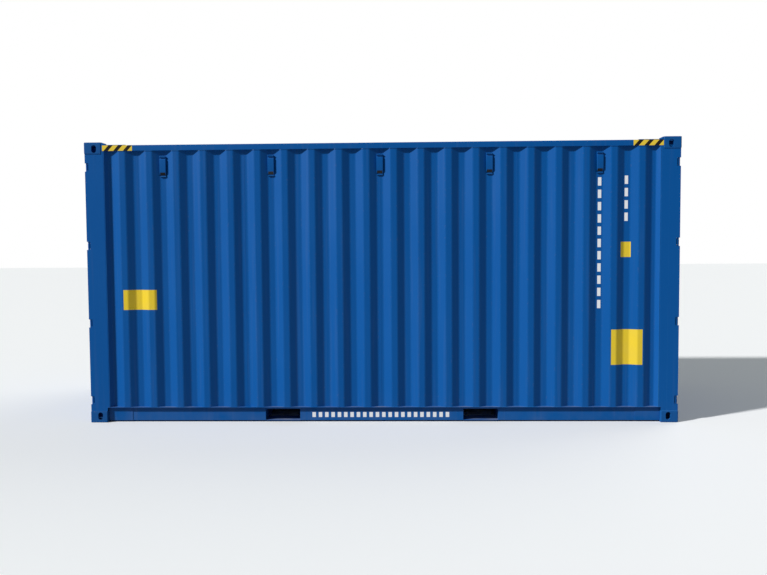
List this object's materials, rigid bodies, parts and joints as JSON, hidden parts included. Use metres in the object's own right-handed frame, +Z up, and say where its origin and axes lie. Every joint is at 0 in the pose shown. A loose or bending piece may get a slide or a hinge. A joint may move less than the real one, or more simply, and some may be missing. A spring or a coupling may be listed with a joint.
{
  "type": "shipping container",
  "caption": "Steel freight container, 20 ft high cube, with folded side walls, fork pockets, corner castings and swinging double doors at both ends.",
  "frame": {"origin": "on the ground at the middle of the base, level with the undersides of the corner castings", "axes": "+X along the length, +Y across the width, +Z up; the front side wall faces -Y"},
  "size_m": [6.058, 2.438, 2.896],
  "materials": {
    "blue_sheet": "semi-gloss blue paint on folded sheet",
    "blue_steel": "semi-gloss blue paint on rolled sections",
    "blue_casting": "semi-gloss blue paint on cast steel",
    "zinc_steel": "zinc-coated steel",
    "door_rubber": "black door seal rubber",
    "plywood": "sealed hardwood plywood"
  },
  "bodies": {
    "container_body": {"back_side_wall": "blue_sheet", "bottom_rail_webs": "blue_steel", "bottom_side_rails": "blue_steel", "cam_keepers": "blue_steel", "corner_posts": "blue_steel", "crossmembers": "blue_steel", "door_headers": "blue_steel", "door_sills": "blue_steel", "floor_boards": "plywood", "fork_pocket_plates": "blue_steel", "fork_pocket_sides": "blue_steel", "front_side_wall": "blue_sheet", "hinge_lugs": "blue_steel", "hinge_pins": "zinc_steel", "lower_corner_castings": "blue_casting", "post_channels": "blue_steel", "roof_corner_plates": "blue_steel", "roof_panel": "blue_sheet", "top_side_rails": "blue_steel", "upper_corner_castings": "blue_casting", "ventilators": "blue_steel"},
    "left_end_front_door": {"left_end_front_door_frame": "blue_steel", "left_end_front_door_gasket": "door_rubber", "left_end_front_door_hinge_blades": "blue_steel", "left_end_front_door_lock_brackets": "blue_steel", "left_end_front_door_locking_bars": "blue_steel", "left_end_front_door_panel": "blue_sheet"},
    "left_end_back_door": {"left_end_back_door_frame": "blue_steel", "left_end_back_door_gasket": "door_rubber", "left_end_back_door_hinge_blades": "blue_steel", "left_end_back_door_lock_brackets": "blue_steel", "left_end_back_door_locking_bars": "blue_steel", "left_end_back_door_panel": "blue_sheet"},
    "right_end_front_door": {"right_end_front_door_frame": "blue_steel", "right_end_front_door_gasket": "door_rubber", "right_end_front_door_hinge_blades": "blue_steel", "right_end_front_door_lock_brackets": "blue_steel", "right_end_front_door_locking_bars": "blue_steel", "right_end_front_door_panel": "blue_sheet"},
    "right_end_back_door": {"right_end_back_door_frame": "blue_steel", "right_end_back_door_gasket": "door_rubber", "right_end_back_door_hinge_blades": "blue_steel", "right_end_back_door_lock_brackets": "blue_steel", "right_end_back_door_locking_bars": "blue_steel", "right_end_back_door_panel": "blue_sheet"}
  },
  "joints": [
    {"name": "left_end_front_door_swing", "type": "hinge", "parent": "container_body", "child": "left_end_front_door", "pos_m": [-3.007, -1.194, 1.44], "axis": [0, 0, 1], "range_deg": [0, 262]},
    {"name": "left_end_back_door_swing", "type": "hinge", "parent": "container_body", "child": "left_end_back_door", "pos_m": [-3.007, 1.194, 1.44], "axis": [0, 0, -1], "range_deg": [0, 262]},
    {"name": "right_end_front_door_swing", "type": "hinge", "parent": "container_body", "child": "right_end_front_door", "pos_m": [3.007, -1.194, 1.44], "axis": [0, 0, -1], "range_deg": [0, 262]},
    {"name": "right_end_back_door_swing", "type": "hinge", "parent": "container_body", "child": "right_end_back_door", "pos_m": [3.007, 1.194, 1.44], "axis": [0, 0, 1], "range_deg": [0, 262]}
  ]
}
